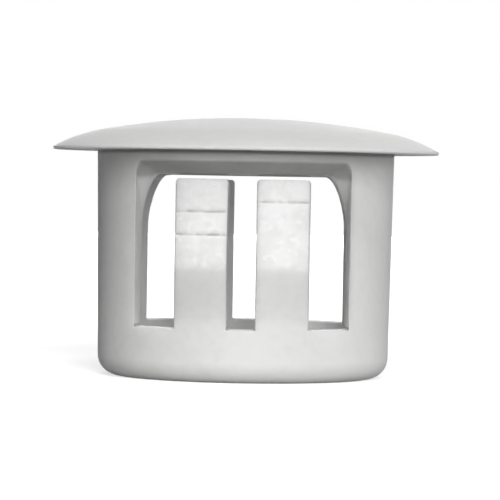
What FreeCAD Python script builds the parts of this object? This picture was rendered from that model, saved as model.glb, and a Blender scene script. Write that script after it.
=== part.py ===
import FreeCAD, Part
import math
import os
import Sketcher

# A snap-in locking hole plug, moulded in one piece.
# It closes a 12.7 mm hole in a panel. The plug stands on the rim of its barrel at z = 0, with
# the head on top and the barrel's axis on Z. The windows with the locking fingers face -Y and +Y.

# Driving sizes, in millimetres and degrees. Each cell of the sheet holds one plain number.
SIZES = [
    ("head_radius", 8.05, "outer edge of the head"),
    ("crown_height", 1.42, "middle of the head above its underside"),
    ("crown_radius", 33.0, "radius of the dome on the head"),
    ("crown_reach", 6.0, "where the dome turns down towards the edge"),
    ("edge_thickness", 0.12, "thin lip all round the head"),
    ("barrel_depth", 9.35, "underside of the head above the rim"),
    ("barrel_radius", 6.2, "outside of the barrel under the head"),
    ("barrel_draft", 0.9, "taper of the outside towards the rim"),
    ("wall", 1.3, "thickness of the barrel under the head"),
    ("core_draft", 0.3, "taper of the inside, wider at the rim"),
    ("rim_round", 0.85, "rounding outside the rim, which leads into the hole"),
    ("mouth_bevel", 0.1, "bevel inside the rim"),
    ("ceiling_round", 0.5, "rounding inside, between wall and head"),
    ("window_half_angle", 44.7, "side of the window, at the outside of the barrel, from the middle"),
    ("window_draft", 6.0, "the window narrows inwards by this angle"),
    ("lintel_height", 0.4, "barrel left standing between head and window"),
    ("lintel_drop", 0.6, "how far the splayed top of the window falls inwards"),
    ("sill_height", 2.16, "foot of the window above the rim"),
    ("corner_inside", 1.58, "rounding of the window's top corners, where it starts in the hollow"),
    ("corner_outside", 0.12, "rounding of the window's top corners, where it ends outside"),
    ("finger_gap", 1.16, "slot between the two fingers of a window"),
    ("finger_width", 2.1, "width of a finger, at the outside of the barrel"),
    ("finger_draft", 1.2, "the fingers widen inwards by this angle"),
    ("finger_round", 0.15, "rounding of a finger's top corners"),
    ("panel_thinnest", 1.15, "panel that is caught on the finger tips"),
    ("panel_on_high_ledge", 2.08, "panel that is caught on the short finger's ledge"),
    ("panel_on_middle_ledge", 2.5, "panel that is caught on the long finger's upper ledge"),
    ("panel_on_low_ledge", 3.42, "panel that is caught on the long finger's lower ledge"),
    ("tip_reach", 0.28, "finger tip beyond the barrel"),
    ("ledge_reach", 0.16, "each ledge beyond the stretch above it"),
    ("ramp_top", 4.6, "height from which the finger slopes back to the barrel"),
    ("ramp_foot", 2.5, "height at which the slope meets the barrel"),
    ("ramp_round", 3.0, "soft bend at the top of the slope"),
    ("overlap", 0.4, "how far a cutting or joining solid runs past the surface it meets"),
    ("sink", 0.05, "how far the foot of the slope lies under the barrel's surface"),
]

FULL_TURN = 360
QUARTER_TURN = 90
SMALLEST = 1e-6
NEAR_ENOUGH = 0.01
FRONT_SIDE = -1
REAR_SIDE = 1


class Size:
    """A length with its present value and the expression that ties it to the sheet."""

    def __init__(self, value, text):
        self.value = value
        self.text = text

    def __add__(self, other):
        other = as_size(other)
        return Size(self.value + other.value, f"({self.text} + {other.text})")

    def __sub__(self, other):
        other = as_size(other)
        return Size(self.value - other.value, f"({self.text} - {other.text})")

    def __mul__(self, other):
        other = as_size(other)
        return Size(self.value * other.value, f"({self.text} * {other.text})")

    def __truediv__(self, other):
        other = as_size(other)
        return Size(self.value / other.value, f"({self.text} / {other.text})")

    def __neg__(self):
        return Size(-self.value, f"(0 - {self.text})")

    def root(self):
        return Size(math.sqrt(self.value), f"sqrt({self.text})")

    def sine(self):
        return Size(math.sin(math.radians(self.value)), f"sin({self.text})")

    def cosine(self):
        return Size(math.cos(math.radians(self.value)), f"cos({self.text})")

    def tangent(self):
        return Size(math.tan(math.radians(self.value)), f"tan({self.text})")


def as_size(number):
    return number if isinstance(number, Size) else Size(number, str(number))


def fill_sheet(doc):
    """Write the driving sizes into the sheet, and return them by name."""
    sheet = doc.addObject("Spreadsheet::Sheet", "Sizes")
    named = {}
    for row, (alias, value, meaning) in enumerate(SIZES, start=1):
        sheet.set(f"A{row}", meaning)
        sheet.set(f"B{row}", str(value))
        sheet.setAlias(f"B{row}", alias)
        named[alias] = Size(value, f"Sizes.{alias}")
    doc.recompute()
    return named


def new_sketch(doc, name, upright):
    """An empty sketch, either upright (x is the radius, y is the height) or flat on the floor."""
    sketch = doc.addObject("Sketcher::SketchObject", name)
    if upright:
        raise_up = FreeCAD.Rotation(FreeCAD.Vector(1, 0, 0), QUARTER_TURN)
        sketch.Placement = FreeCAD.Placement(FreeCAD.Vector(), raise_up)
    return sketch


def hold(sketch, kind, *where, by):
    """Add a dimension to the sketch, tied to the sheet."""
    index = sketch.addConstraint(Sketcher.Constraint(kind, *where, by.value))
    sketch.setExpression(f"Constraints[{index}]", by.text)


def hold_point(sketch, item, end, x, y):
    hold(sketch, "DistanceX", -1, 1, item, end, by=x)
    hold(sketch, "DistanceY", -1, 1, item, end, by=y)


def point(x, y):
    return FreeCAD.Vector(x.value, y.value, 0)


def corner_ends(before, corner, after, radius):
    """Where a rounding of this radius starts and ends, and the middle of its arc."""
    back = (before - corner).normalize()
    ahead = (after - corner).normalize()
    half = back.getAngle(ahead) / 2
    reach = radius / math.tan(half)
    middle = (back + ahead).normalize()
    nearest = radius / math.sin(half) - radius
    return corner + back * reach, corner + middle * nearest, corner + ahead * reach


def draw_outline(sketch, corners):
    """Draw a closed outline of straight sides. A corner is (x, y), or (x, y, radius) if rounded."""
    places = [point(c[0], c[1]) for c in corners]
    count = len(corners)
    rounded = {}
    for i, corner in enumerate(corners):
        if len(corner) == 3:
            rounded[i] = corner_ends(places[i - 1], places[i], places[(i + 1) % count], corner[2].value)
    sides = []
    for i in range(count):
        following = (i + 1) % count
        start = rounded[i][2] if i in rounded else places[i]
        end = rounded[following][0] if following in rounded else places[following]
        sides.append(sketch.addGeometry(Part.LineSegment(start, end)))
    for i, corner in enumerate(corners):
        side_in = sides[i - 1]
        side_out = sides[i]
        if i not in rounded:
            sketch.addConstraint(Sketcher.Constraint("Coincident", side_in, 2, side_out, 1))
            hold_point(sketch, side_out, 1, corner[0], corner[1])
            continue
        arc = sketch.addGeometry(Part.Arc(*rounded[i]))
        arc_ends = (1, 2)
        if sketch.getPoint(arc, 1).distanceToPoint(rounded[i][0]) > SMALLEST:
            arc_ends = (2, 1)
        sketch.addConstraint(Sketcher.Constraint("Tangent", side_in, 2, arc, arc_ends[0]))
        sketch.addConstraint(Sketcher.Constraint("Tangent", arc, arc_ends[1], side_out, 1))
        hold(sketch, "Radius", arc, by=corner[2])
        tip = sketch.addGeometry(Part.Point(places[i]), True)
        sketch.addConstraint(Sketcher.Constraint("PointOnObject", tip, 1, side_in))
        sketch.addConstraint(Sketcher.Constraint("PointOnObject", tip, 1, side_out))
        hold_point(sketch, tip, 1, corner[0], corner[1])


def turned(doc, name, sketch):
    """The solid that an upright outline sweeps round the barrel's axis."""
    solid = doc.addObject("Part::Revolution", name)
    solid.Source = sketch
    solid.Axis = FreeCAD.Vector(0, 0, 1)
    solid.Angle = FULL_TURN
    solid.Solid = True
    return solid


def raised(doc, name, sketch, height):
    """The solid that a flat outline makes when it is pulled straight up from z = 0."""
    solid = doc.addObject("Part::Extrusion", name)
    solid.Base = sketch
    solid.DirMode = "Custom"
    solid.Dir = FreeCAD.Vector(0, 0, 1)
    solid.Solid = True
    solid.LengthFwd = height.value
    solid.setExpression("LengthFwd", height.text)
    return solid


def joined(doc, name, kind, solids):
    result = doc.addObject(kind, name)
    result.Shapes = solids
    result.Refine = True
    return result


def cut_away(doc, name, base, tool):
    result = doc.addObject("Part::Cut", name)
    result.Base = base
    result.Tool = tool
    result.Refine = True
    return result


def make_head(doc, size):
    """The head: a flat underside, a thin lip, and a low dome that turns down near the lip."""
    sketch = new_sketch(doc, "HeadSection", upright=True)
    underside = size["barrel_depth"]
    crown = underside + size["crown_height"]
    lip = underside + size["edge_thickness"]
    sweep = size["crown_radius"]
    reach = size["crown_reach"]
    sweep_height = (sweep * sweep - reach * reach).root()
    dome_middle = crown - sweep
    turn_height = dome_middle + sweep_height
    none = as_size(0)

    axis = sketch.addGeometry(Part.LineSegment(point(none, crown), point(none, underside)))
    rim_low = point(size["head_radius"], underside)
    rim_high = point(size["head_radius"], lip)
    under = sketch.addGeometry(Part.LineSegment(point(none, underside), rim_low))
    edge = sketch.addGeometry(Part.LineSegment(rim_low, rim_high))
    # The shoulder leaves the dome in the dome's own direction and ends on the lip.
    start = point(size["crown_reach"], turn_height)
    outward = (start - point(none, dome_middle)).normalize()
    chord = rim_high - start
    shoulder_radius = -chord.dot(chord) / (2 * chord.dot(outward))
    shoulder_middle = start - outward * shoulder_radius
    half_way = shoulder_middle + ((start + rim_high) * 0.5 - shoulder_middle).normalize() * shoulder_radius
    shoulder = sketch.addGeometry(Part.Arc(rim_high, half_way, start))
    dome_half = point(none, dome_middle) + (
        (start + point(none, crown)) * 0.5 - point(none, dome_middle)
    ).normalize() * size["crown_radius"].value
    dome = sketch.addGeometry(Part.Arc(start, dome_half, point(none, crown)))

    joins = ((axis, 2, under, 1), (under, 2, edge, 1), (edge, 2, shoulder, 1), (dome, 2, axis, 1))
    for join in joins:
        sketch.addConstraint(Sketcher.Constraint("Coincident", *join))
    sketch.addConstraint(Sketcher.Constraint("Tangent", shoulder, 2, dome, 1))
    sketch.addConstraint(Sketcher.Constraint("PointOnObject", dome, 3, -2))
    hold_point(sketch, under, 1, none, underside)
    hold_point(sketch, edge, 1, size["head_radius"], underside)
    hold_point(sketch, edge, 2, size["head_radius"], lip)
    hold_point(sketch, axis, 1, none, crown)
    hold(sketch, "Radius", dome, by=size["crown_radius"])
    hold(sketch, "DistanceX", -1, 1, dome, 1, by=size["crown_reach"])
    return turned(doc, "Head", sketch)


def core_radius_at(size, height):
    """Radius of the hollow at a height: it widens towards the rim."""
    top = size["barrel_radius"] - size["wall"]
    return top + (size["barrel_depth"] - height) * size["core_draft"].tangent()


def barrel_radius_at(size, height):
    return size["barrel_radius"] - (size["barrel_depth"] - height) * size["barrel_draft"].tangent()


def make_barrel(doc, size):
    """The hollow barrel: a drafted tube with a rounded rim, let into the head."""
    sketch = new_sketch(doc, "BarrelSection", upright=True)
    rim = as_size(0)
    underside = size["barrel_depth"]
    buried = underside + size["overlap"]
    fillet_reach = core_radius_at(size, underside) - size["ceiling_round"] - size["overlap"]
    draw_outline(sketch, [
        (core_radius_at(size, size["mouth_bevel"]), size["mouth_bevel"]),
        (core_radius_at(size, rim) + size["mouth_bevel"], rim),
        (barrel_radius_at(size, rim), rim, size["rim_round"]),
        (size["barrel_radius"], underside),
        (size["barrel_radius"], buried),
        (fillet_reach, buried),
        (fillet_reach, underside),
        (core_radius_at(size, underside), underside, size["ceiling_round"]),
    ])
    return turned(doc, "Barrel", sketch)


def make_window_block(doc, size):
    """The two blocks that the windows are cut with: splayed top, level foot, drafted sides."""
    sketch = new_sketch(doc, "WindowSection", upright=True)
    top = size["barrel_depth"] - size["lintel_height"]
    inner = size["barrel_radius"] - size["wall"] - size["overlap"]
    outer = size["barrel_radius"] + size["overlap"]
    fall = size["lintel_drop"] / size["wall"]
    draw_outline(sketch, [
        (inner, size["sill_height"]),
        (outer, size["sill_height"]),
        (outer, top + size["overlap"] * fall),
        (inner, top - (size["wall"] + size["overlap"]) * fall),
    ])
    ring = turned(doc, "WindowRing", sketch)

    plan = new_sketch(doc, "WindowPlan", upright=False)
    half = size["barrel_radius"] * size["window_half_angle"].sine()
    edge_depth = size["barrel_radius"] * size["window_half_angle"].cosine()
    narrow = half - edge_depth * size["window_draft"].tangent()
    far = size["barrel_radius"] + size["overlap"] + size["overlap"]
    wide = narrow + far * size["window_draft"].tangent()
    middle = as_size(0)
    draw_outline(plan, [
        (narrow, middle), (wide, far), (-wide, far), (-narrow, middle), (-wide, -far), (wide, -far),
    ])
    prism = raised(doc, "WindowPrism", plan, size["barrel_depth"])
    block = joined(doc, "WindowBlock", "Part::MultiCommon", [ring, prism])
    doc.recompute()
    return rounded_window_corners(doc, size, block)


def rounded_window_corners(doc, size, block):
    """Round the two top corners of each block, wide inside the wall and tight outside it."""
    inner = size["barrel_radius"].value - size["wall"].value - size["overlap"].value
    outer = size["barrel_radius"].value + size["overlap"].value
    widest = size["corner_inside"].value
    tightest = size["corner_outside"].value
    chosen = []
    for number, edge in enumerate(block.Shape.Edges, start=1):
        ends = [v.Point for v in (edge.firstVertex(), edge.lastVertex())]
        reach = [math.hypot(p.x, p.y) for p in ends]
        across = abs(max(reach) - outer) < NEAR_ENOUGH and abs(min(reach) - inner) < NEAR_ENOUGH
        if not across or min(p.z for p in ends) < size["sill_height"].value + size["overlap"].value:
            continue
        radii = (widest, tightest) if reach[0] < reach[1] else (tightest, widest)
        chosen.append((number, *radii))
    fillet = doc.addObject("Part::Fillet", "WindowCorners")
    fillet.Base = block
    fillet.Edges = chosen
    return fillet


def make_finger_prisms(doc, size, name, mirrored):
    """The upright blocks of one kind of finger: one in the front window, one turned to the rear."""
    plan = new_sketch(doc, f"{name}Plan", upright=False)
    slope = size["finger_draft"].tangent()
    near = size["finger_gap"] / 2
    away = near + size["finger_width"]
    front = size["barrel_radius"]
    deep = front - size["wall"] - size["wall"]
    proud = front + size["wall"]
    outline = [
        (near - (front - deep) * slope, deep), (away + (front - deep) * slope, deep),
        (away - (proud - front) * slope, proud), (near + (proud - front) * slope, proud),
    ]
    for facing in (FRONT_SIDE, REAR_SIDE):
        hand = -facing if mirrored else facing
        corners = [(x * hand, y * facing) for x, y in outline]
        draw_outline(plan, corners if hand * facing > 0 else corners[::-1])
    tip = size["barrel_depth"] - size["panel_thinnest"]
    prism = raised(doc, f"{name}Prism", plan, tip)
    doc.recompute()
    chosen = []
    for number, edge in enumerate(prism.Shape.Edges, start=1):
        ends = [v.Point for v in (edge.firstVertex(), edge.lastVertex())]
        at_tip = all(abs(p.z - tip.value) < NEAR_ENOUGH for p in ends)
        if at_tip and abs(ends[0].y - ends[1].y) > size["wall"].value:
            chosen.append((number, size["finger_round"].value, size["finger_round"].value))
    fillet = doc.addObject("Part::Fillet", f"{name}Tips")
    fillet.Base = prism
    fillet.Edges = chosen
    return fillet


def make_finger_face(doc, size, name, panels, prisms):
    """The stepped front of one kind of finger, proud of the barrel: a ring cut to the fingers' width."""
    sketch = new_sketch(doc, f"{name}Section", upright=True)
    back = size["barrel_radius"] - size["wall"] / 2
    above = size["barrel_depth"] - size["panel_thinnest"] + size["overlap"]
    reach = size["barrel_radius"] + size["tip_reach"]
    outline = [(back, size["ramp_foot"]), (back, above), (reach, above)]
    for panel in panels:
        ledge = size["barrel_depth"] - panel
        outline.append((reach, ledge))
        reach = reach + size["ledge_reach"]
        outline.append((reach, ledge))
    outline.append((reach, size["ramp_top"], size["ramp_round"]))
    outline.append((barrel_radius_at(size, size["ramp_foot"]) - size["sink"], size["ramp_foot"]))
    draw_outline(sketch, outline[::-1])
    ring = turned(doc, f"{name}Ring", sketch)
    return joined(doc, f"{name}Face", "Part::MultiCommon", [ring, prisms])


def build(doc):
    size = fill_sheet(doc)
    shell = joined(doc, "Shell", "Part::MultiFuse", [make_head(doc, size), make_barrel(doc, size)])
    windows = make_window_block(doc, size)

    long_prisms = make_finger_prisms(doc, size, "LongFinger", mirrored=False)
    short_prisms = make_finger_prisms(doc, size, "ShortFinger", mirrored=True)
    fingers = joined(doc, "FingerBlocks", "Part::MultiFuse", [long_prisms, short_prisms])
    openings = cut_away(doc, "Openings", windows, fingers)
    body = cut_away(doc, "OpenShell", shell, openings)

    long_face = make_finger_face(
        doc, size, "LongFinger", [size["panel_on_middle_ledge"], size["panel_on_low_ledge"]], long_prisms
    )
    short_face = make_finger_face(doc, size, "ShortFinger", [size["panel_on_high_ledge"]], short_prisms)
    plug = joined(doc, "HolePlug", "Part::MultiFuse", [body, long_face, short_face])
    plug.Label = "hole_plug"
    plug.Placement = FreeCAD.Placement()
    doc.recompute()
    return [plug]


def check(doc, parts):
    """Stop if any object of the document failed, or a part is not one valid closed solid."""
    for item in doc.Objects:
        if "Invalid" in item.State or "Error" in item.State:
            raise RuntimeError(f"{item.Name} failed: {item.State}")
    for part in parts:
        if part.Shape.isNull() or not part.Shape.isValid() or len(part.Shape.Solids) != 1:
            raise RuntimeError(f"{part.Label} is not one valid solid")


def main():
    doc = FreeCAD.newDocument("HolePlug")
    parts = build(doc)
    check(doc, parts)
    os.makedirs("parts", exist_ok=True)
    for part in parts:
        part.Shape.exportStep(os.path.join("parts", f"{part.Label}.step"))
        box = part.Shape.BoundBox
        print(f"{part.Label}: {part.Shape.Volume:.2f} mm3, {len(part.Shape.Faces)} faces, "
              f"{box.XLength:.2f} x {box.YLength:.2f} x {box.ZLength:.2f} mm")


main()
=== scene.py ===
# %% [markdown]
# # A snap-in hole plug, moulded in natural nylon
#
# The plug closes a round hole in a metal panel. A thin domed head hides the hole, a hollow barrel
# goes through it, and two windows in the barrel leave room for four locking fingers. Each finger
# is rooted in the ring at the bottom and carries small steps, which catch behind panels of
# different thicknesses.
#
# The real object comes out of one mould in one shot, so it is one piece here too. The packed
# model gives its exact form. This script gives it the soft edges and the milky surface of
# moulded nylon, and then lights and frames it as in the photograph.

import math

import bmesh
import bpy
from mathutils import Matrix, Vector


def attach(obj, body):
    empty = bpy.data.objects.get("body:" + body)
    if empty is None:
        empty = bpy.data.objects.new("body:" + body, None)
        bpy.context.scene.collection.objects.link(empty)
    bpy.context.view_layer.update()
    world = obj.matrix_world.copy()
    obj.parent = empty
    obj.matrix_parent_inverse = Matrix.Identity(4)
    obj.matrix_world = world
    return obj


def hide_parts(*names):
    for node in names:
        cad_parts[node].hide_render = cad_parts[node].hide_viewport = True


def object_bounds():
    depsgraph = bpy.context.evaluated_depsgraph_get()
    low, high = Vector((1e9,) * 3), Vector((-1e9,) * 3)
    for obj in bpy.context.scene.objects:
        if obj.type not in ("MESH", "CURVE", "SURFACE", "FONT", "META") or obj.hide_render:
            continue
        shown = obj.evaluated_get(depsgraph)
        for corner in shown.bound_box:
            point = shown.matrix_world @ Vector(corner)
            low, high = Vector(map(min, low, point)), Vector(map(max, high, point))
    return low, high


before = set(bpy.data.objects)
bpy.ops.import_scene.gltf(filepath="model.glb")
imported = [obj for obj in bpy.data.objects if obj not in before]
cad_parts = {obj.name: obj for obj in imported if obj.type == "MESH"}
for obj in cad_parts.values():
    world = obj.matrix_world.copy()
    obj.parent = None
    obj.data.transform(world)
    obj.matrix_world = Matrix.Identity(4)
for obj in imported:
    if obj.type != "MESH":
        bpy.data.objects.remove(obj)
frame_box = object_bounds()
lowest, highest = frame_box
MILLIMETRE = 0.001
print("the frame in mm:", [round(side / MILLIMETRE, 2) for side in highest - lowest])

# %% [markdown]
# ## The moulded edges
#
# A tool maker breaks every edge of a mould a little, so no edge of a moulded part is a knife edge.
# A soft edge also catches a thin line of light, and that line is what makes small plastic parts
# look real. A shader can fake soft edges, but the mesh itself would stay sharp, so here they are
# cut into the mesh. The CAD mesh is made of loose triangles. So a copy of it is welded, its flat
# faces are made whole again, and a narrow bevel goes round the edges that turn by more than a set
# angle. The copy then stands for the CAD node.
#
# A bevel needs room on both sides and at both ends, or it folds over itself. So three things
# come first. Corners of the mesh that lie inside a face, but closer to a sharp edge than the
# bevel is wide, are taken out, and so are the edges that leave a tight corner at a narrow angle.
# A long edge that ends at a tight corner, such as the rounded corner of a finger tip, is split
# a little before that corner. Then the short edges in the tight corners stay hard, and all the
# others get the bevel.

# %% Sizes of the moulded edges
WELD_DISTANCE = 0.004 * MILLIMETRE
FLAT_WITHIN = math.radians(0.4)
EDGE_WIDTH = 0.045 * MILLIMETRE
EDGE_SEGMENTS = 2
SHARP_FROM = math.radians(32)
ROOM_BESIDE = 1.2 * EDGE_WIDTH
ROOM_AT_END = 0.9 * EDGE_WIDTH
STOP_BEFORE_END = 1.4 * EDGE_WIDTH
LONG_FROM = 5 * EDGE_WIDTH
NARROW_BELOW = math.radians(40)
print("width of the moulded edges in mm:", round(EDGE_WIDTH / MILLIMETRE, 3))


# %% Measure edges and corners
def is_sharp(edge):
    return edge.calc_face_angle(0) > SHARP_FROM


def is_tight(corner):
    """A corner is tight if one of its edges is too short for the bevel."""
    return min(edge.calc_length() for edge in corner.link_edges) < ROOM_AT_END


def distance_to(edge, place):
    start, end = (corner.co for corner in edge.verts)
    share = (place - start).dot(end - start) / (end - start).length_squared
    return (start.lerp(end, min(1, max(0, share))) - place).length


def lies_beside_edge(corner):
    """Is this corner inside a smooth face, but too close to one of its sharp edges?"""
    if any(is_sharp(edge) for edge in corner.link_edges):
        return False
    around = {edge for face in corner.link_faces for edge in face.edges if is_sharp(edge)}
    return any(distance_to(edge, corner.co) < ROOM_BESIDE for edge in around)


# %% Make room for the bevel
def long_sharp_edges(build):
    return [edge for edge in build.edges if is_sharp(edge) and edge.calc_length() > LONG_FROM]


def angle_at(corner, first, second):
    """The angle between two edges that leave the same corner."""
    ways = [edge.other_vert(corner).co - corner.co for edge in (first, second)]
    return ways[0].angle(ways[1], math.pi)


def narrow_spokes(build):
    """Edges inside a smooth face that leave a tight corner too close beside a long sharp edge."""
    spokes = []
    for edge in long_sharp_edges(build):
        for end in [corner for corner in edge.verts if is_tight(corner)]:
            for spoke in end.link_edges:
                inside = not is_sharp(spoke) and spoke not in spokes
                if inside and angle_at(end, spoke, edge) < NARROW_BELOW:
                    spokes.append(spoke)
    return spokes


def split_before_tight_ends(build):
    """Split each long sharp edge a little before an end that has no room for the bevel."""
    for edge in long_sharp_edges(build):
        for end in [corner for corner in edge.verts if is_tight(corner)]:
            share = STOP_BEFORE_END / edge.calc_length()
            _, middle = bmesh.utils.edge_split(edge, end, share)
            edge = max(middle.link_edges, key=lambda part: part.calc_length())


def mark_edges(build):
    """Give sharp edges with room at both ends the bevel weight 1, and keep the rest hard."""
    weight = build.edges.layers.float.new("bevel_weight_edge")
    lengths = {"soft": 0.0, "hard": 0.0}
    for face in build.faces:
        face.smooth = True
    for edge in build.edges:
        if not is_sharp(edge):
            continue
        kind = "hard" if any(is_tight(corner) for corner in edge.verts) else "soft"
        edge[weight] = 1.0 if kind == "soft" else 0.0
        edge.smooth = kind == "soft"
        lengths[kind] += edge.calc_length() / MILLIMETRE
    return lengths


# %% Weld a copy of the CAD node
cad_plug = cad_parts["hole_plug"]
plug_mesh = cad_plug.data.copy()
plug_mesh.name = "moulded_plug"
plug_mesh.materials.clear()

build = bmesh.new()
build.from_mesh(plug_mesh)
bmesh.ops.remove_doubles(build, verts=build.verts, dist=WELD_DISTANCE)
bmesh.ops.dissolve_degenerate(build, edges=build.edges, dist=WELD_DISTANCE)
beside = [corner for corner in build.verts if lies_beside_edge(corner)]
bmesh.ops.dissolve_verts(build, verts=beside)
bmesh.ops.dissolve_limit(build, verts=build.verts, edges=build.edges, angle_limit=FLAT_WITHIN)
spokes = narrow_spokes(build)
bmesh.ops.dissolve_edges(build, edges=spokes)
split_before_tight_ends(build)
open_edges = sum(1 for edge in build.edges if len(edge.link_faces) != 2)
print("welded plug:", len(build.faces), "faces,", open_edges, "open edges")
print("taken out:", len(beside), "corners and", len(spokes), "edges")
lengths = mark_edges(build)
print("sharp edges in mm:", {kind: round(length, 1) for kind, length in lengths.items()})
build.to_mesh(plug_mesh)
build.free()

# %% [markdown]
# ### The bevel
#
# The Bevel modifier rounds only the edges that carry a weight. Two segments are enough at a
# width of less than a twentieth of a millimetre. The result becomes a plain mesh at once, because
# the next step sets normals on it, and those don't live through a modifier.

# %% Round the edges
plug = bpy.data.objects.new("moulded_plug", plug_mesh)
bpy.context.collection.objects.link(plug)


def plain_mesh(piece):
    """Turn what the modifiers make into the piece's own mesh."""
    depsgraph = bpy.context.evaluated_depsgraph_get()
    made = bpy.data.meshes.new_from_object(piece.evaluated_get(depsgraph))
    piece.modifiers.clear()
    piece.data = made
    return made


soften = plug.modifiers.new("soft edges", "BEVEL")
soften.width = EDGE_WIDTH
soften.segments = EDGE_SEGMENTS
soften.limit_method = "WEIGHT"
soften.use_clamp_overlap = False
plug_mesh = plain_mesh(plug)
plug_mesh.name = "moulded_plug"
print("softened plug:", len(plug_mesh.polygons), "faces")

# %% [markdown]
# ## Even shading
#
# On the real plug the light changes only where a face turns. Plain smooth shading mixes the
# normals of all the faces round a corner, and leaves dark wedges on the flat ones. So each corner
# of a face gets a normal of its own here: the mean of the faces round it that turn less than a
# set angle, with the large faces counting most. The flat faces stay flat right up to the bevel,
# the bevel carries the whole turn, and an edge that stayed hard looks hard. Faces with many
# corners are cut into triangles of a good shape first, because a sliver shades badly.

# %% Set the normals
SMOOTH_UP_TO = math.cos(math.radians(50))


def corner_normal(face, corner):
    """The normal of one corner of a face, from the faces round it that turn only a little."""
    near = [other for other in corner.link_faces if other.normal.dot(face.normal) > SMOOTH_UP_TO]
    return sum((other.normal * other.calc_area() for other in near), Vector()).normalized()


build = bmesh.new()
build.from_mesh(plug_mesh)
many_sided = [face for face in build.faces if len(face.verts) > 4]
bmesh.ops.triangulate(build, faces=many_sided, quad_method="BEAUTY", ngon_method="BEAUTY")
build.normal_update()
normals = [corner_normal(face, corner) for face in build.faces for corner in face.verts]
build.to_mesh(plug_mesh)
build.free()
plug_mesh.normals_split_custom_set(normals)
print("shaded plug:", len(plug_mesh.polygons), "faces, after", len(many_sided), "were cut")

# %% [markdown]
# ## Natural nylon
#
# Unfilled nylon is milky. Light goes a little way in, spreads, and comes out again, so a thin
# wall glows and shadows have soft edges. The surface is satin, because the mould isn't polished.
#
# One plain grey would look like paint. So five things vary over the surface, and each has a shader
# node group of its own: faint clouds from the melt, the fine grain of the mould, painted light and
# flecks of wear on the fingers, painted light and shade in the hollow, and painted shade in the
# corners. The groups put out values only. A colour ramp in the material turns their sum into the
# colour.

# %% Helpers for shader nodes
def node_group(name, inputs, outputs):
    """An empty shader node group. Each input has a name, a kind and a first value, or None."""
    group = bpy.data.node_groups.new(name, "ShaderNodeTree")
    for title, kind, first in inputs:
        socket = group.interface.new_socket(title, in_out="INPUT", socket_type=kind)
        if first is not None:
            socket.default_value = first
    for title in outputs:
        group.interface.new_socket(title, in_out="OUTPUT", socket_type="NodeSocketFloat")
    return group, group.nodes.new("NodeGroupInput"), group.nodes.new("NodeGroupOutput")


def feed(tree, source, socket):
    """Link an output to an input, or write a plain number into it."""
    if isinstance(source, bpy.types.NodeSocket):
        tree.links.new(source, socket)
    else:
        socket.default_value = source


def maths(tree, operation, first, second=0.0):
    node = tree.nodes.new("ShaderNodeMath")
    node.operation = operation
    feed(tree, first, node.inputs[0])
    feed(tree, second, node.inputs[1])
    return node.outputs[0]


# %% [markdown]
# ### Clouds in the melt
#
# Nylon never mixes quite evenly in the mould, so its tone drifts over a millimetre or two. Two
# sizes of noise give this drift. They read the object's own coordinates, because a picture would
# need a flat map of the plug, and its seams would show.

# %% Clouds in the melt
def noise(tree, place, size, detail=2.0):
    """Noise between 0 and 1 with blotches of about this size, in metres."""
    node = tree.nodes.new("ShaderNodeTexNoise")
    node.inputs["Detail"].default_value = detail
    feed(tree, place, node.inputs["Vector"])
    feed(tree, maths(tree, "DIVIDE", 1.0, size), node.inputs["Scale"])
    return node.outputs["Fac"]


def make_clouds():
    """Faint, wide and narrow clouds round 0."""
    group, given, made = node_group(
        "melt_clouds",
        [
            ("Place", "NodeSocketVector", None),
            ("Wide", "NodeSocketFloat", 0.0),
            ("Narrow", "NodeSocketFloat", 0.0),
        ],
        ["Shade"],
    )
    wide = noise(group, given.outputs["Place"], given.outputs["Wide"])
    narrow = noise(group, given.outputs["Place"], given.outputs["Narrow"])
    mean = maths(group, "MULTIPLY", maths(group, "ADD", wide, narrow), 0.5)
    feed(group, maths(group, "SUBTRACT", mean, 0.5), made.inputs["Shade"])
    return group


melt_clouds = make_clouds()
print("made:", melt_clouds.name)

# %% [markdown]
# ### Grain of the mould
#
# The mould was blasted, not polished, and leaves a grain finer than a tenth of a millimetre. That
# is too small for the mesh, so a bump of two thousandths of a millimetre stands for it.

# %% Grain of the mould
def make_grain():
    """The height of the mould's fine grain, between 0 and 1."""
    group, given, made = node_group(
        "mould_grain",
        [("Place", "NodeSocketVector", None), ("Grain", "NodeSocketFloat", 0.0)],
        ["Height"],
    )
    grain = noise(group, given.outputs["Place"], given.outputs["Grain"], detail=3.0)
    feed(group, grain, made.inputs["Height"])
    return group


mould_grain = make_grain()
print("made:", mould_grain.name)

# %% [markdown]
# ### Painted light on the fingers, with flecks of wear
#
# The outer faces of the fingers are made paler than the barrel. This is painted light: it stands
# for the glow and the highlight that these thin proud faces catch, and it is painted paler still
# towards the tips, where the head's shadow falls. Their small bright flecks are wear from the
# panel. The faces stand proud of the barrel, so their distance from its axis finds them without a
# map. Noise breaks the mask up.

# %% Masks from distance and height
def step_between(tree, value, start, end, low=0.0, high=1.0):
    """A smooth step from low at the start to high at the end, which may lie below the start."""
    node = tree.nodes.new("ShaderNodeMapRange")
    node.interpolation_type = "SMOOTHSTEP"
    feed(tree, value, node.inputs["Value"])
    feed(tree, start, node.inputs["From Min"])
    feed(tree, end, node.inputs["From Max"])
    feed(tree, low, node.inputs["To Min"])
    feed(tree, high, node.inputs["To Max"])
    return node.outputs["Result"]


def around_axis(tree, place):
    """How far a place is from the barrel's axis, and how high."""
    parts = tree.nodes.new("ShaderNodeSeparateXYZ")
    feed(tree, place, parts.inputs[0])
    across = maths(tree, "POWER", parts.outputs["X"], 2.0)
    along = maths(tree, "POWER", parts.outputs["Y"], 2.0)
    return maths(tree, "SQRT", maths(tree, "ADD", across, along)), parts.outputs["Z"]


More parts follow.
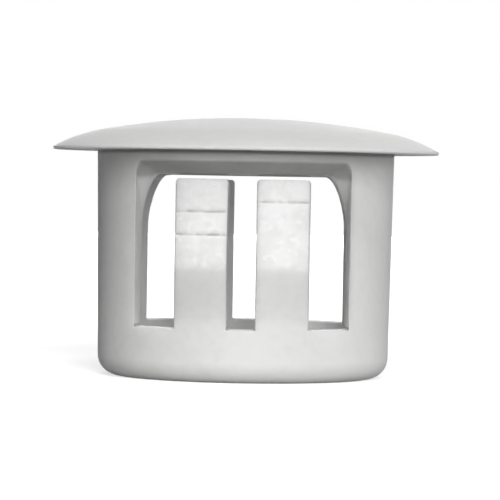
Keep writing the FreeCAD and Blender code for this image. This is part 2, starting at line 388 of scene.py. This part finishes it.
# %% Painted light on the fingers
MASK_SOFTNESS = 0.4 * MILLIMETRE
MASK_EDGE = 0.05 * MILLIMETRE
BLOTCHES = (0.35, 0.65)
LEAST_FINGER_LIGHT = 0.5
# The tips get more painted light, where the head's shadow falls.
TIP_FROM, TIP_TO, TIP_GAIN = 0.75, 0.9, 1.4
FLECK_SIZE = 0.4
FLECKS = (0.58, 0.72)


def make_finger_light_and_rub():
    """A mask of painted light on the faces that stand proud of the barrel, in blotches, and a mask
    of small bright flecks of wear.
    """
    group, given, made = node_group(
        "finger_light_and_rub",
        [
            ("Place", "NodeSocketVector", None),
            ("Proud From", "NodeSocketFloat", 0.0),
            ("Proud To", "NodeSocketFloat", 0.0),
            ("Foot", "NodeSocketFloat", 0.0),
            ("Top", "NodeSocketFloat", 0.0),
            ("Blotch", "NodeSocketFloat", 0.0),
        ],
        ["Mask", "Flecks"],
    )
    radius, height = around_axis(group, given.outputs["Place"])
    foot, top = given.outputs["Foot"], given.outputs["Top"]
    proud = step_between(group, radius, given.outputs["Proud From"], given.outputs["Proud To"])
    above = step_between(group, height, foot, maths(group, "ADD", foot, MASK_SOFTNESS))
    below = step_between(group, height, maths(group, "ADD", top, MASK_EDGE), top)
    finger = maths(group, "MULTIPLY", maths(group, "MULTIPLY", proud, above), below)
    blotch = noise(group, given.outputs["Place"], given.outputs["Blotch"], detail=3.0)
    uneven = step_between(group, blotch, *BLOTCHES, LEAST_FINGER_LIGHT, 1.0)
    tip_from = maths(group, "MULTIPLY", top, TIP_FROM)
    tip_to = maths(group, "MULTIPLY", top, TIP_TO)
    near_tip = step_between(group, height, tip_from, tip_to, 1.0, TIP_GAIN)
    light_and_rubbed = maths(group, "MULTIPLY", maths(group, "MULTIPLY", finger, uneven), near_tip)
    feed(group, light_and_rubbed, made.inputs["Mask"])
    fleck_size = maths(group, "MULTIPLY", given.outputs["Blotch"], FLECK_SIZE)
    specks = noise(group, given.outputs["Place"], fleck_size, detail=0.0)
    flecks = maths(group, "MULTIPLY", finger, step_between(group, specks, *FLECKS))
    feed(group, flecks, made.inputs["Flecks"])
    return group


finger_light_and_rub = make_finger_light_and_rub()
print("made:", finger_light_and_rub.name, "with the tips rubbed", TIP_GAIN, "times as much")

# %% [markdown]
# ### The hollow
#
# Thin nylon lets some light through, and light falls in between the fingers. So the inner walls,
# the cheeks and the sills of the windows get painted light, paler than the lamps make them there,
# and the deep recess under the head gets painted shade. A lamp inside the barrel would brighten
# the walls too, but it would shine on the floor as well. So one group masks what lies nearer to
# the axis than a radius and between two heights. The material places it four times, each time with
# sizes of its own.

# %% The hollow
def make_hollow():
    """A mask of what lies nearer to the axis than the radius, from the foot to the top."""
    group, given, made = node_group(
        "hollow",
        [
            ("Place", "NodeSocketVector", None),
            ("Radius", "NodeSocketFloat", 0.0),
            ("Foot", "NodeSocketFloat", 0.0),
            ("Top", "NodeSocketFloat", 0.0),
            ("Blur", "NodeSocketFloat", 0.0),
        ],
        ["Mask"],
    )
    foot, top, blur = (given.outputs[title] for title in ("Foot", "Top", "Blur"))
    radius, height = around_axis(group, given.outputs["Place"])
    outer = given.outputs["Radius"]
    inside = step_between(group, radius, outer, maths(group, "SUBTRACT", outer, blur))
    above = step_between(group, height, foot, maths(group, "ADD", foot, blur))
    under = step_between(group, height, top, maths(group, "SUBTRACT", top, blur))
    between = maths(group, "MULTIPLY", above, under)
    feed(group, maths(group, "MULTIPLY", inside, between), made.inputs["Mask"])
    return group


hollow = make_hollow()
print("made:", hollow.name)

# %% [markdown]
# ### Painted shade in the corners
#
# The thin lines under the ledges and in the inner corners are painted shade: they are darkened in
# the colour where shade falls. A map could hold them, but the plug has no flat map and needs none.
# The Ambient Occlusion node tells how shut in a point is, and with a short reach it finds just
# these lines.

# %% Painted shade in the corners
SHADE_SAMPLES = 8
UNSHADED_FROM, SHADED_FROM = 0.97, 0.65


def make_corners():
    """A mask of painted shade in the inner corners, from how much of the sky a point can't see
    close by.
    """
    group, given, made = node_group("corner_shade", [("Reach", "NodeSocketFloat", 0.0)], ["Mask"])
    shut_in = group.nodes.new("ShaderNodeAmbientOcclusion")
    shut_in.samples = SHADE_SAMPLES
    shut_in.only_local = True
    feed(group, given.outputs["Reach"], shut_in.inputs["Distance"])
    darkened = step_between(group, shut_in.outputs["AO"], UNSHADED_FROM, SHADED_FROM)
    feed(group, darkened, made.inputs["Mask"])
    return group


corner_shade = make_corners()
print("made:", corner_shade.name, "with", SHADE_SAMPLES, "rays for each point")

# %% [markdown]
# ### The sum of the masks
#
# Each mask moves one number, the shade, up or down by a share of its own, and a ramp turns the
# shade into grey. So one ramp holds the whole range of tones, and each effect can be made weaker
# or stronger alone. What is the same everywhere, such as the index of refraction, is set on the
# shader's own sockets.

# %% Shares and shades
NYLON_SHADES = ((0.0, 0.40), (0.5, 0.78), (1.0, 0.97))
PLAIN_SHADE = 0.5
LESS_BLUE = 0.99
CLOUD_SHARE = 0.22
# Share of the painted light on the finger faces.
FINGER_LIGHT_SHARE = 0.36
FLECK_SHARE = 0.2
# Share of the painted shade in the inner corners.
CORNER_SHADE_SHARE = 0.7

# Each zone of the hollow has a share and sizes in millimetres. The positive shares paint light,
# and the negative one paints shade into the recess under the head.
HOLLOW_LIGHT_AND_SHADE = {
    "inner walls": (0.4, dict(Radius=5.2, Foot=-1.0, Top=8.6, Blur=0.3)),
    "cheeks of the windows": (0.35, dict(Radius=6.1, Foot=2.2, Top=8.3, Blur=0.25)),
    "sills of the windows": (0.4, dict(Radius=5.98, Foot=1.8, Top=2.5, Blur=0.2)),
    "recess under the head": (-0.25, dict(Radius=6.19, Foot=8.15, Top=9.6, Blur=0.25)),
}
print("zones of the hollow:", ", ".join(HOLLOW_LIGHT_AND_SHADE))

# %% Place the groups in the material
nylon = bpy.data.materials.new("milky_nylon")
nylon.use_nodes = True
tree = nylon.node_tree
surface = tree.nodes["Principled BSDF"]
place = tree.nodes.new("ShaderNodeTexCoord").outputs["Object"]


def placed(group, **values):
    """Put a group into the nylon, with its own values for the named inputs."""
    node = tree.nodes.new("ShaderNodeGroup")
    node.node_tree = group
    if "Place" in node.inputs:
        tree.links.new(place, node.inputs["Place"])
    for title, value in values.items():
        node.inputs[title.replace("_", " ")].default_value = value
    return node


clouds = placed(melt_clouds, Wide=1.8 * MILLIMETRE, Narrow=0.35 * MILLIMETRE)
# Painted light on the finger faces, with flecks of wear.
finger_light = placed(
    finger_light_and_rub,
    Proud_From=6.28 * MILLIMETRE,
    Proud_To=6.4 * MILLIMETRE,
    Foot=4.45 * MILLIMETRE,
    Top=8.2 * MILLIMETRE,
    Blotch=0.7 * MILLIMETRE,
)
# Painted shade in the inner corners.
corner_shading = placed(corner_shade, Reach=0.24 * MILLIMETRE)
grain = placed(mould_grain, Grain=0.07 * MILLIMETRE)

changes = [(finger_light.outputs["Mask"], FINGER_LIGHT_SHARE), (finger_light.outputs["Flecks"], FLECK_SHARE)]
# Painted light on the inner walls, cheeks and sills, and painted shade in the recess under the
# head.
for share, sizes in HOLLOW_LIGHT_AND_SHADE.values():
    zone = placed(hollow, **{title: size * MILLIMETRE for title, size in sizes.items()})
    changes.append((zone.outputs["Mask"], share))
changes.append((corner_shading.outputs["Mask"], -CORNER_SHADE_SHARE))
print("masks in the nylon:", len(changes))

# %% Colour, roughness and grain
ROUGHNESS = (0.55, 0.68)
CLOUD_RANGE = (-0.2, 0.2)
GRAIN_HEIGHT = 0.002 * MILLIMETRE

shade = maths(tree, "MULTIPLY_ADD", clouds.outputs["Shade"], CLOUD_SHARE)
shade.node.inputs[2].default_value = PLAIN_SHADE
for mask, share in changes:
    shade = maths(tree, "ADD", shade, maths(tree, "MULTIPLY", mask, share))
ramp = tree.nodes.new("ShaderNodeValToRGB")
stops = ramp.color_ramp.elements
stops.remove(stops[-1])
for position, grey in NYLON_SHADES:
    stop = stops[0] if position == 0 else stops.new(position)
    stop.color = (grey, grey, grey * LESS_BLUE, 1)
tree.links.new(shade, ramp.inputs["Fac"])
tree.links.new(ramp.outputs["Color"], surface.inputs["Base Color"])

roughness = step_between(tree, clouds.outputs["Shade"], *CLOUD_RANGE, *ROUGHNESS)
tree.links.new(roughness, surface.inputs["Roughness"])

bump = tree.nodes.new("ShaderNodeBump")
bump.inputs["Strength"].default_value = 1.0
bump.inputs["Distance"].default_value = GRAIN_HEIGHT
tree.links.new(grain.outputs["Height"], bump.inputs["Height"])
tree.links.new(bump.outputs["Normal"], surface.inputs["Normal"])
print("greys of the nylon, from dark to pale:", [grey for _, grey in NYLON_SHADES])

# %% [markdown]
# ### Milky depth
#
# Light goes into the nylon and comes out a little way off. A volume inside the mesh would show
# that best, but it is slow, and few programs read it. So the shader's own subsurface scattering
# stands for it. It reaches half a millimetre, less than half the thickness of the wall, and is
# the same for all colours, because the nylon isn't dyed. The gloss is low, as on a satin skin.

# %% Milky depth
REFRACTION = 1.53
GLOSS = 0.1
SCATTER_DEPTH = 0.5 * MILLIMETRE
SAME_FOR_ALL_COLOURS = (1.0, 1.0, 1.0)

surface.inputs["IOR"].default_value = REFRACTION
surface.inputs["Specular IOR Level"].default_value = GLOSS
surface.inputs["Subsurface Weight"].default_value = 1.0
surface.inputs["Subsurface Radius"].default_value = SAME_FOR_ALL_COLOURS
surface.inputs["Subsurface Scale"].default_value = SCATTER_DEPTH
plug_mesh.materials.append(nylon)
print("light goes this far into the nylon, in mm:", round(SCATTER_DEPTH / MILLIMETRE, 2))

# %% [markdown]
# ## The plug in the frame
#
# The finished plug belongs to the one body of the part, stands for the CAD node, and fills the
# material slot that the part's record names.

# %% Join the frame
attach(plug, "root")
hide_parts("hole_plug")
print("finished plug:", len(plug.data.polygons), "faces,", len(plug.data.materials), "material")

# %% [markdown]
# ## Floor, light and background
#
# The photograph shows the plug on plain white. A strong lamp on a pale floor would give that, but
# its light would wash out the plug. So the floor glows white only for the camera and for
# reflections, and still takes the plug's shadow. Light that bounces meets a floor that is grey
# near the plug and dark farther out. The near part lifts the plug's foot as a real table does,
# and the dark part keeps the underside of the head and the top of the window in shadow.

# %% Floor
FLOOR_REACH = 1.5

floor_mesh = bpy.data.meshes.new("floor")
corners = [(-1, -1), (1, -1), (1, 1), (-1, 1)]
places = [(x * FLOOR_REACH, y * FLOOR_REACH, lowest.z) for x, y in corners]
floor_mesh.from_pydata(places, [], [(0, 1, 2, 3)])
floor = bpy.data.objects.new("floor", floor_mesh)
bpy.context.collection.objects.link(floor)
print("floor:", 2 * FLOOR_REACH, "m wide")


# %% What is seen and what bounces
def seen_directly(tree):
    """1 for camera, mirror and glass rays, 0 for light that bounces."""
    path = tree.nodes.new("ShaderNodeLightPath")
    total = path.outputs["Is Camera Ray"]
    for ray in ("Is Glossy Ray", "Is Transmission Ray"):
        total = maths(tree, "MAXIMUM", total, path.outputs[ray])
    return total


def shader(tree, kind, colour):
    """A plain shader. The colour is a colour of its own, or a value that varies."""
    node = tree.nodes.new(kind)
    feed(tree, colour, node.inputs["Color"])
    return node.outputs[0]


def chosen(tree, factor, first, second):
    """The first shader where the factor is 0, and the second where it is 1."""
    node = tree.nodes.new("ShaderNodeMixShader")
    for source, socket in zip((factor, first, second), node.inputs):
        tree.links.new(source, socket)
    return node.outputs[0]


# %% White paper on the floor
FLOOR_PALE = (0.8, 0.8, 0.8, 1)
BOUNCE_REACH = (12 * MILLIMETRE, 35 * MILLIMETRE)
BOUNCE_NEAR, BOUNCE_FAR = 0.44, 0.05
SHADOW_REACH = (20 * MILLIMETRE, 60 * MILLIMETRE)
LIFT_NEAR, LIFT_FAR = 0.65, 1.0

paper = bpy.data.materials.new("white_floor")
paper.use_nodes = True
tree = paper.node_tree
tree.nodes.clear()
away, _ = around_axis(tree, tree.nodes.new("ShaderNodeTexCoord").outputs["Object"])
lift = step_between(tree, away, *SHADOW_REACH, LIFT_NEAR, LIFT_FAR)
bounce = step_between(tree, away, *BOUNCE_REACH, BOUNCE_NEAR, BOUNCE_FAR)
lifted = tree.nodes.new("ShaderNodeAddShader")
tree.links.new(shader(tree, "ShaderNodeBsdfDiffuse", FLOOR_PALE), lifted.inputs[0])
tree.links.new(shader(tree, "ShaderNodeEmission", lift), lifted.inputs[1])
paper_light = shader(tree, "ShaderNodeBsdfDiffuse", bounce)
output = tree.nodes.new("ShaderNodeOutputMaterial")
seen = chosen(tree, seen_directly(tree), paper_light, lifted.outputs[0])
tree.links.new(seen, output.inputs["Surface"])
floor_mesh.materials.append(paper)
print("share of light that the floor bounces, near and far:", BOUNCE_NEAR, BOUNCE_FAR)

# %% [markdown]
# ### The room
#
# A white room that also shines would light the plug evenly from all sides, and flatten it. So the
# room follows the floor's rule: white where the camera or a mirror looks at it, and almost black
# as a source of light, so that the lamps alone model the plug.

# %% World
AMBIENT = (0.03, 0.03, 0.03, 1)
WHITE = (1, 1, 1, 1)

world = bpy.data.worlds.new("white_room")
bpy.context.scene.world = world
world.use_nodes = True
tree = world.node_tree
tree.nodes.clear()
ambient = shader(tree, "ShaderNodeBackground", AMBIENT)
white = shader(tree, "ShaderNodeBackground", WHITE)
output = tree.nodes.new("ShaderNodeOutputWorld")
tree.links.new(chosen(tree, seen_directly(tree), ambient, white), output.inputs["Surface"])
print("the room gives", AMBIENT[0], "of white light")

# %% [markdown]
# ### Lamps
#
# In the photograph one tall soft lamp in front, a little to the right, does most of the work.
# Alone it would leave the barrel's right side, the dome and the hollow too dark. So a low lamp at
# the right, one above and one behind brighten them. Each lamp's level is what a white card that
# faces it would render at. So levels can be compared, and a grey renders about as it is written.

# %% Lamps
LAMP_DISTANCE = 0.4


def softbox(name, azimuth, elevation, width, height, level):
    """A soft lamp that looks at the middle of the plug, and renders a white card at its level."""
    lamp = bpy.data.lights.new(name, "AREA")
    lamp.shape = "RECTANGLE"
    lamp.size = width
    lamp.size_y = height
    lamp.energy = level * (math.pi * LAMP_DISTANCE) ** 2
    holder = bpy.data.objects.new(name, lamp)
    bpy.context.collection.objects.link(holder)
    turn, tilt = math.radians(azimuth), math.radians(elevation)
    sideways = Vector((math.sin(turn), -math.cos(turn), 0))
    away = sideways * math.cos(tilt) + Vector((0, 0, math.sin(tilt)))
    holder.location = (lowest + highest) / 2 + away * LAMP_DISTANCE
    holder.rotation_mode = "QUATERNION"
    holder.rotation_quaternion = away.to_track_quat("Z", "Y")
    holder.visible_camera = False
    print("lamp:", name, "at level", level)


softbox("front", azimuth=8, elevation=16, width=0.12, height=0.24, level=0.86)
softbox("right", azimuth=115, elevation=6, width=0.14, height=0.14, level=0.2)
softbox("above", azimuth=0, elevation=58, width=0.14, height=0.14, level=0.24)
softbox("back", azimuth=180, elevation=14, width=0.2, height=0.2, level=0.36)

# %% [markdown]
# ## The camera
#
# The photograph was taken from close by, with the eye almost level with the underside of the
# head, so the rim of the head is a straight line. From farther away the ring at the bottom would
# curve less. So the distance, the height and the lens are set for the curve of the ring, and for
# the window and the head to lie where the photograph has them.

# %% Camera
EYE_DISTANCE = 130 * MILLIMETRE
EYE_HEIGHT = 7.806 * MILLIMETRE
EYE_AZIMUTH = math.radians(0.98)
AIM = Vector((0.233, 0, 5.266)) * MILLIMETRE
LENS = 223.7
ROLL = math.radians(1.0)

camera_data = bpy.data.cameras.new("camera")
camera_data.lens = LENS
camera_data.clip_start = 0.01
camera_data.clip_end = 10
camera = bpy.data.objects.new("camera", camera_data)
bpy.context.collection.objects.link(camera)
camera.location = (
    EYE_DISTANCE * math.sin(EYE_AZIMUTH),
    -EYE_DISTANCE * math.cos(EYE_AZIMUTH),
    EYE_HEIGHT,
)
look = (AIM - camera.location).to_track_quat("-Z", "Y").to_matrix()
camera.rotation_mode = "QUATERNION"
camera.rotation_quaternion = (look @ Matrix.Rotation(ROLL, 3, "Z")).to_quaternion()
bpy.context.scene.camera = camera
bpy.context.scene.view_settings.view_transform = "Standard"
print("field of view in degrees:", round(math.degrees(camera_data.angle), 2))
